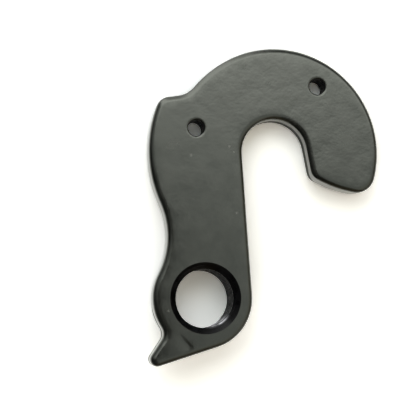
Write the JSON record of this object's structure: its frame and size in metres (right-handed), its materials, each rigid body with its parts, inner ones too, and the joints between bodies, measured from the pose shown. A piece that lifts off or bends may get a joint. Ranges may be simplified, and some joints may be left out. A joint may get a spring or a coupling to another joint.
{
  "type": "derailleur hanger",
  "caption": "Flat black anodised hook plate that fits over a wheel axle, with a threaded eye for a rear derailleur, a stop tail and small threads for frame screws.",
  "frame": {"origin": "on the axis of the derailleur thread, in the plane of the plate's inboard face, which seats on the bicycle frame", "axes": "+Z points outboard along the derailleur thread, out of the face that the picture shows; +Y runs up the straight edge of the stem towards the axle; +X points to the hook's tip"},
  "size_m": [0.0384, 0.0483, 0.0075],
  "materials": {
    "anodised": "black anodised, satin"
  },
  "bodies": {
    "root": {"hanger": "anodised"}
  },
  "joints": []
}
